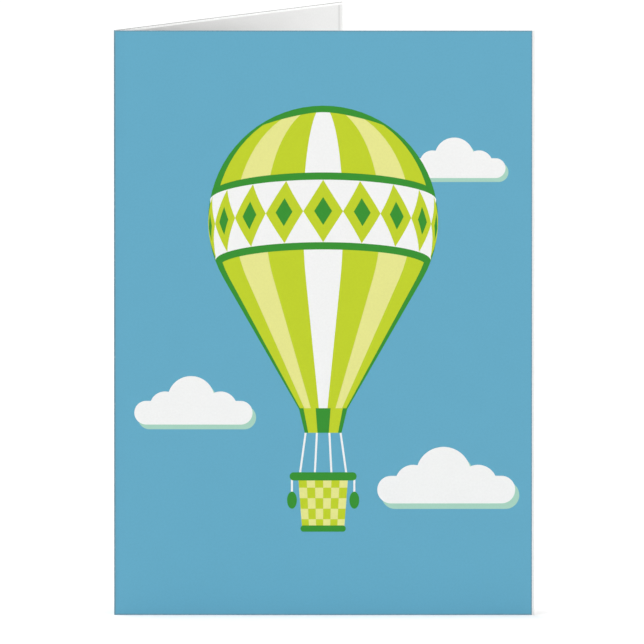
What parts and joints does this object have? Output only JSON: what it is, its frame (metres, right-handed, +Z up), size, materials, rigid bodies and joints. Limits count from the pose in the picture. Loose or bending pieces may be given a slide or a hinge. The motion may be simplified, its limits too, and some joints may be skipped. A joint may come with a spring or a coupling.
{
  "type": "greeting card",
  "caption": "Tall folded greeting card of printed card stock, standing half open on its lower edges, with two panels that swing on the fold.",
  "frame": {"origin": "on the surface that the card stands on, under the middle of the card's box", "axes": "+Z up along the fold, -Y out of the cover's printed face, +X from the fold towards the cover's free edge"},
  "size_m": [0.127, 0.1068, 0.1778],
  "materials": {
    "printed_stock": "printed matt to satin card stock, blue",
    "plain_stock": "uncoated white card stock"
  },
  "bodies": {
    "cover": {"front_panel": "printed_stock"},
    "back": {"back_panel": "plain_stock"}
  },
  "joints": [
    {"name": "cover_fold", "type": "hinge", "parent": "cover", "child": "back", "pos_m": [-0.06345, -0.05298, 0], "axis": [0, 0, 1], "range_deg": [-54.7, 123.3]}
  ]
}
